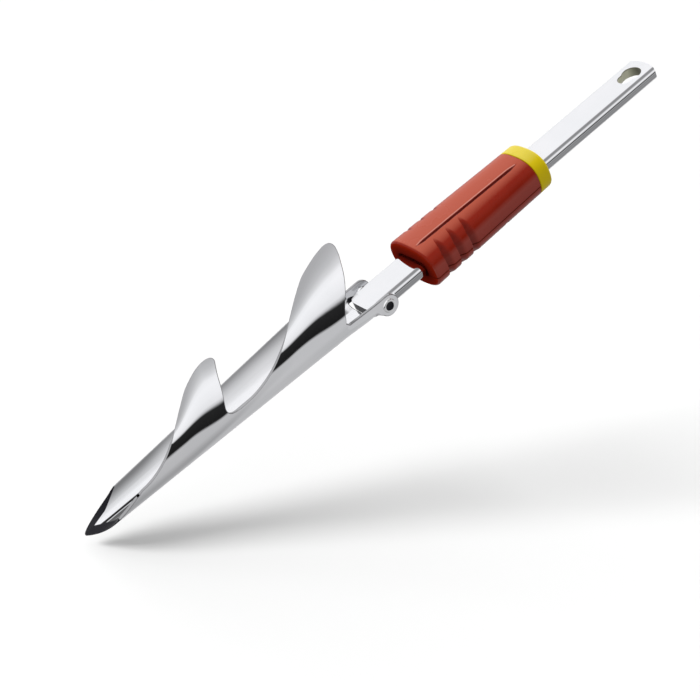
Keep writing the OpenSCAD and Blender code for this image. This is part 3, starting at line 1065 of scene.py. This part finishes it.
def shell_stations():
    turns = np.linspace(0, math.pi / 2, 13)[::-1]
    first = FINGERS[0]
    last = FINGERS[-1]
    stations = [(GRIP_START + END_ROUND * (1 - math.sin(t)), END_ROUND * END_PULL * (1 - math.cos(t)))
                for t in turns]
    stations += [(x, 0.0) for x in np.arange(GRIP_START + END_ROUND + 0.5, first - 4, COARSE)]
    stations += [(x, 0.0) for x in np.arange(first - 3.6, last + 5, FINE)]
    stations += [(x, 0.0) for x in np.arange(last + 5.4, GRIP_END - 0.6, COARSE)]
    return stations + [(GRIP_END - 0.4, 0.0), (GRIP_END - 0.1, 0.3)]


# Half of the grip, with an open mouth round the bar
MOUTH_END = GRIP_START + 18
MOUTH_STEP = 0.6
MOUTH_HALF = (13.4, 5.7)
BORE_HALF = (12.8, 4.3)
# Painted shade on the rounded end at the mouth
END_DARK = 0.3
SHELL_SHARP = math.radians(40)


def make_shell(name, up, node):
    loops = []
    darks = []
    lip_highlights = []
    for x, shrink in shell_stations():
        mouth = 1 - ease(MOUTH_END, MOUTH_END + MOUTH_STEP, x)
        inner_a, inner_b = (mix(bore, wide, mouth) for bore, wide in zip(BORE_HALF, MOUTH_HALF))
        loop, dark, lip_highlight = shell_loop(x, shrink, inner_a, inner_b, up)
        loops.append(loop)
        darks.append(np.maximum(dark, END_DARK * ease(1.5, 2.6, shrink)))
        lip_highlights.append(lip_highlight)
    points, faces, kinds = loft(loops, ARC_POINTS + 2)
    if up < 0:
        faces = [f[::-1] for f in faces]
    shell = make(name, points, faces, "grip", [node], [red, matt_red], None, kinds)
    shell.data.set_sharp_from_angle(angle=SHELL_SHARP)
    mark(shell, "sunk", np.concatenate(darks))
    mark(shell, "lip_highlight", np.concatenate(lip_highlights))
    return shell


make_shell("grip_shell_upper", 1, "grip_upper_shell")
lower = make_shell("grip_shell_lower", -1, "grip_lower_shell")

# Screw pockets under the lower shell
SCREWS = [(42, 16.4), (42, -16.4), (95, 15.4), (95, -15.4)]
POCKET_LEVELS = (-20, -5.8)
POCKET = 2.3


def pocket_tool():
    turns = full_turn(32)
    points = []
    faces = []
    for x, y in SCREWS:
        faces += stack_faces(len(points), len(turns), len(POCKET_LEVELS))
        ring = [(x + POCKET * math.cos(t), y + POCKET * math.sin(t)) for t in turns]
        points += [(*place, z) for z in POCKET_LEVELS for place in ring]
    return plain_mesh("pockets", points, faces)


cut(lower, pocket_tool())

# Collar: closed ring with round outer edges, as places along it with how far the section shrinks
COLLAR_ROUND = 2.4
COLLAR_FRONT = GRIP_END + 0.2


def make_collar():
    turn = full_turn(240)
    n = len(turn)
    stations = [(COLLAR_FRONT, 0.5), (GRIP_END + 0.35, 0.12), (GRIP_END + 0.7, 0.0)]
    stations += [(x, 0.0) for x in np.linspace(GRIP_END + 1.5, COLLAR_END - 2.6, 8)]
    stations += [(COLLAR_END - COLLAR_ROUND + COLLAR_ROUND * math.sin(t), COLLAR_ROUND * (1 - math.cos(t)))
                 for t in np.linspace(0.1, math.pi / 2, 8)]
    bore = [(COLLAR_END, 0.9), (COLLAR_END - 0.5, 0.5), (COLLAR_FRONT, 0.5)]
    loops = [at_x(x, oval(turn, grip_half_width(x) - shrink, GRIP_HALF_THICK - shrink, GRIP_POWER))
             for x, shrink in stations]
    loops += [at_x(x, oval(turn, BAR_HALF_WIDTH + grow, BAR_HALF + grow, BORE_POWER)) for x, grow in bore]
    faces = []
    for i in range(len(loops)):
        k = (i + 1) % len(loops)
        for j in range(n):
            m = (j + 1) % n
            faces.append((i * n + j, k * n + j, k * n + m, i * n + m))
    make("grip_collar_ring", np.vstack(loops), faces, "grip", ["grip_collar"], [yellow])


make_collar()

# Rivet: low heads, a punched dimple in the near one, as radius and height above the ears
HEAD_RIM = [(3.8, 0.6), (4.2, 0.35), (4.5, 0.0), (2.95, 0.0)]
FAR_HEAD = [(0.0, 0.7), (3.3, 0.7)]
DIMPLE = [(0.0, 0.05), (1.4, 0.1), (2.3, 0.3), (2.9, 0.6), (3.3, 0.7)]


def make_rivet():
    profile = [(r, EAR_OUT + y) for r, y in FAR_HEAD + HEAD_RIM]
    profile += [(r, -EAR_OUT - y) for r, y in (DIMPLE + HEAD_RIM)[::-1]]
    turns = full_turn(64)
    n = len(turns)
    points = [(r * math.cos(t), y, r * math.sin(t)) for r, y in profile for t in turns]
    faces = []
    kinds = []
    for i in range(len(profile) - 1):
        faces += band(i * n, (i + 1) * n, n)
        kinds += [int(i > len(profile) - len(DIMPLE))] * n
    # The dimple takes the near-black metal, painted shade in the hollow
    rivet = make("rivet_turned", points, faces, "blade", ["hinge_rivet"], [chrome, ground_and_shade],
                 None, kinds)
    bm = bmesh.new()
    bm.from_mesh(rivet.data)
    bmesh.ops.remove_doubles(bm, verts=bm.verts, dist=1e-7)
    bmesh.ops.dissolve_degenerate(bm, edges=bm.edges, dist=1e-7)
    bmesh.ops.recalc_face_normals(bm, faces=bm.faces)
    bm.to_mesh(rivet.data)
    bm.free()


make_rivet()

# Carried over nodes get the plain finish
for name in ("stop_pin", "grip_screws", "friction_spring"):
    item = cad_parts[name]
    item.data.materials.clear()
    item.data.materials.append(dull)

# Camera fitted to the photograph
camera = bpy.data.cameras.new("camera")
camera.lens = 87.84
camera.sensor_width = 36
camera_piece = bpy.data.objects.new("camera", camera)
scene.collection.objects.link(camera_piece)
right = Vector((0.721686, -0.597064, -0.350262))
down = Vector((-0.618757, -0.329569, -0.713108))
ahead = Vector((0.310335, 0.731368, -0.607283))
stand = Matrix((right, -down, -ahead)).transposed().to_4x4()
stand.translation = Vector((-0.574442, -0.744964, 0.600248))
camera_piece.matrix_world = stand
scene.camera = camera_piece
scene.view_settings.view_transform = "Standard"

# Tilted floor at the point of the blade, clear from its back, white with the shadow of the tool
FLOOR_UP = Vector((0.706, -0.21, 0.675)).normalized()
FLOOR_AT = Vector((-0.4554, 0.0052, -0.0047))
FLOOR_HALF = 12.0
FLOOR_GREY = (0.36, 0.36, 0.36, 1)
corners = [(x * FLOOR_HALF, y * FLOOR_HALF, 0) for x, y in ((-1, -1), (1, -1), (1, 1), (-1, 1))]
floor_mesh = bpy.data.meshes.new("floor")
floor_mesh.from_pydata(corners, [], [(0, 1, 2, 3)])
floor = bpy.data.objects.new("floor", floor_mesh)
scene.collection.objects.link(floor)
lay = FLOOR_UP.to_track_quat("Z", "X").to_matrix().to_4x4()
lay.translation = FLOOR_AT
floor.matrix_world = lay
floor.visible_glossy = False
floor.visible_diffuse = False
floor_material, tree, shader = new_material("floor")
tree.nodes.remove(shader)
paint = add(tree, "ShaderNodeBsdfDiffuse", Color=FLOOR_GREY)
clear = tree.nodes.new("ShaderNodeBsdfTransparent")
back = tree.nodes.new("ShaderNodeNewGeometry").outputs["Backfacing"]
surface = mix_shader(tree, back, paint.outputs[0], clear.outputs[0])
tree.links.new(surface, tree.nodes["Material Output"].inputs["Surface"])
floor_mesh.materials.append(floor_material)

# What the metal sees of the studio, by the angle round the tool: a sky of softboxes over a dark table edge
SKY = [(-45, 1.0), (56, 1.0), (73, 0.95), (86, 0.86), (91, 0.60)]
FRONT_BELOW = [(-180, 0.38), (-165, 0.42), (-141, 0.55), (-110, 0.60), (-76, 0.75), (-61, 0.98)]
FRONT_TABLE = [(95, 0.02), (110, 0.012), (112, 0.54), (130, 0.50), (160, 0.36)]
REAR_BELOW = [(-180, 0.50), (-150, 0.55), (-110, 0.62), (-76, 0.75), (-61, 0.98)]
REAR_TABLE = [(95, 0.02), (110, 0.012), (112, 0.57), (140, 0.57), (160, 0.52)]
BAR_STUDIO = [(-180, 0.50), (-150, 0.60), (-128, 0.72), (-90, 0.95), (-60, 0.98), (-44, 1.0), (-37, 0.6),
              (-25, 0.29), (5, 0.27), (15, 0.32), (30, 0.78), (42, 0.98), (52, 0.85), (62, 0.35), (70, 0.05),
              (79, 0.05), (86, 0.50), (112, 0.54), (160, 0.57)]
MATT_LIGHT = Vector((0.35, 0.60, 0.72)).normalized()
WHITE = (1, 1, 1, 1)
world = bpy.data.worlds.new("studio")
scene.world = world
world.use_nodes = True
tree = world.node_tree
tree.nodes.clear()
direction = tree.nodes.new("ShaderNodeTexCoord").outputs["Generated"]
axes = axes_of(tree, direction)
share = turn_share(tree, axes)


# The studio changes along the tool: one part for the front of the blade, one for its rear, one for the bar
def blend_along(first, second, start, end):
    step = spread(tree, axes["X"], start=start, end=end, curve="SMOOTHSTEP")
    return blend(tree, step, first, second)


front_part = grey_ramp(tree, share, FRONT_BELOW + SKY + FRONT_TABLE)
rear_part = grey_ramp(tree, share, REAR_BELOW + SKY + REAR_TABLE)
bar_part = grey_ramp(tree, share, BAR_STUDIO)
scenery = blend_along(front_part, rear_part, start=0.165, end=0.195)
scenery = blend_along(scenery, bar_part, start=0.325, end=0.345)
studio = add(tree, "ShaderNodeBackground", Strength=1.0)
tree.links.new(scenery, studio.inputs["Color"])

# Matt surfaces are lit softly, most from above and behind, and the camera sees white
toward = tree.nodes.new("ShaderNodeVectorMath")
toward.operation = "DOT_PRODUCT"
toward.inputs[1].default_value = MATT_LIGHT
tree.links.new(direction, toward.inputs[0])
soft = spread(tree, toward.outputs["Value"], low=0.45, high=2.2, start=0.35, end=0.95, curve="SMOOTHSTEP")
plain = add(tree, "ShaderNodeBackground", Color=WHITE)
tree.links.new(soft, plain.inputs["Strength"])
white = add(tree, "ShaderNodeBackground", Color=WHITE, Strength=1.0)
ray = tree.nodes.new("ShaderNodeLightPath").outputs
shiny = calculate(tree, "MAXIMUM", ray["Is Glossy Ray"], ray["Is Transmission Ray"])
light = mix_shader(tree, shiny, plain.outputs[0], studio.outputs[0])
seen = mix_shader(tree, ray["Is Camera Ray"], light, white.outputs[0])
output = tree.nodes.new("ShaderNodeOutputWorld")
tree.links.new(seen, output.inputs["Surface"])

# Two lamps from one side that throw the tool's shadow on the floor, a clear one and a wide soft one
LAMP_WAY = Vector((-0.31, -0.27, 0.91))
floor_only = bpy.data.collections.new("floor_only")
floor_only.objects.link(floor)


def floor_lamp(name, energy, angle):
    lamp = bpy.data.lights.new(name, "SUN")
    lamp.energy = energy
    lamp.angle = angle
    piece = bpy.data.objects.new(name, lamp)
    scene.collection.objects.link(piece)
    piece.rotation_mode = "QUATERNION"
    piece.rotation_quaternion = LAMP_WAY.to_track_quat("Z", "Y")
    piece.visible_glossy = False
    piece.light_linking.receiver_collection = floor_only


floor_lamp("key", energy=8.3, angle=0.27)
floor_lamp("wide_key", energy=4.2, angle=1.0)
